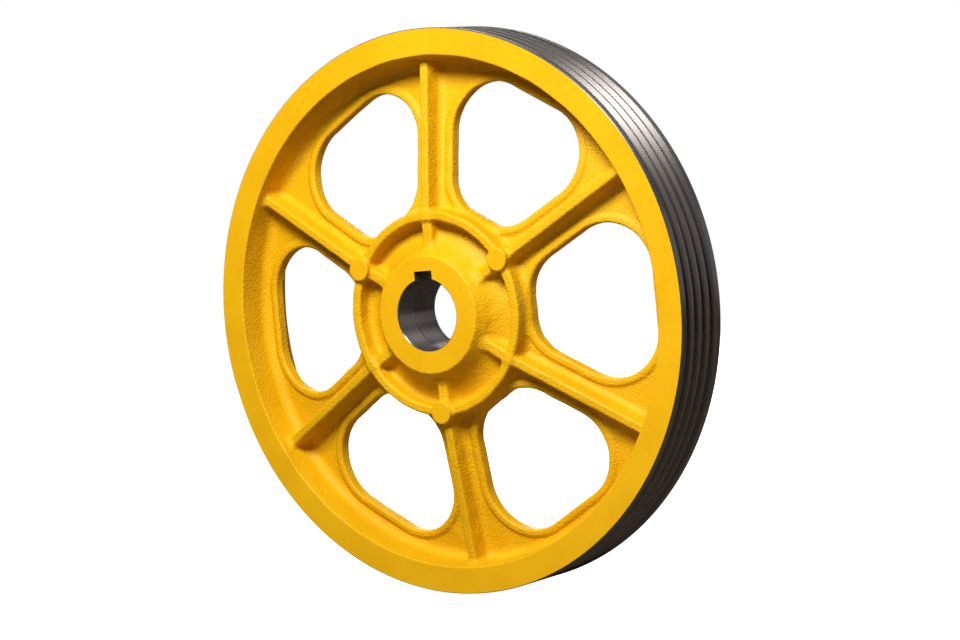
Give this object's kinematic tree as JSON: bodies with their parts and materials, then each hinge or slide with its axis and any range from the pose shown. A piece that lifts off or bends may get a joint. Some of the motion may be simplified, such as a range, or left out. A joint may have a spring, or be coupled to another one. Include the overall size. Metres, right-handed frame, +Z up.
{
  "type": "v belt pulley",
  "caption": "Cast V belt pulley with a grooved rim, spokes with windows between them and an offset keyed hub.",
  "frame": {"origin": "on the wheel's axis, midway across the rim's width", "axes": "+Y along the wheel's axis towards the back, so the proud end of the hub faces -Y; +Z up through the keyway and the top spoke"},
  "size_m": [0.4799, 0.0785, 0.48],
  "materials": {
    "painted_iron": "glossy enamel over a sand casting",
    "turned_iron": "bare, turned"
  },
  "bodies": {
    "root": {"rim": "painted_iron", "front_edge_land": "turned_iron", "groove_ridge_1": "turned_iron", "groove_ridge_2": "turned_iron", "groove_ridge_3": "turned_iron", "back_edge_land": "turned_iron", "spoke_web_1": "painted_iron", "spoke_web_2": "painted_iron", "spoke_web_3": "painted_iron", "spoke_web_4": "painted_iron", "spoke_web_5": "painted_iron", "spoke_web_6": "painted_iron", "spoke_rib_1": "painted_iron", "spoke_rib_2": "painted_iron", "spoke_rib_3": "painted_iron", "spoke_rib_4": "painted_iron", "spoke_rib_5": "painted_iron", "spoke_rib_6": "painted_iron", "window_bead_1": "painted_iron", "window_bead_2": "painted_iron", "window_bead_3": "painted_iron", "window_bead_4": "painted_iron", "window_bead_5": "painted_iron", "window_bead_6": "painted_iron", "hub_ring": "painted_iron", "hub_web": "painted_iron", "hub_rib_1": "painted_iron", "hub_rib_2": "painted_iron", "hub_rib_3": "painted_iron", "hub_rib_4": "painted_iron", "hub_rib_5": "painted_iron", "hub_rib_6": "painted_iron", "boss_pad_1": "painted_iron", "boss_pad_2": "painted_iron", "boss_pad_3": "painted_iron", "hub": "painted_iron"}
  },
  "joints": []
}
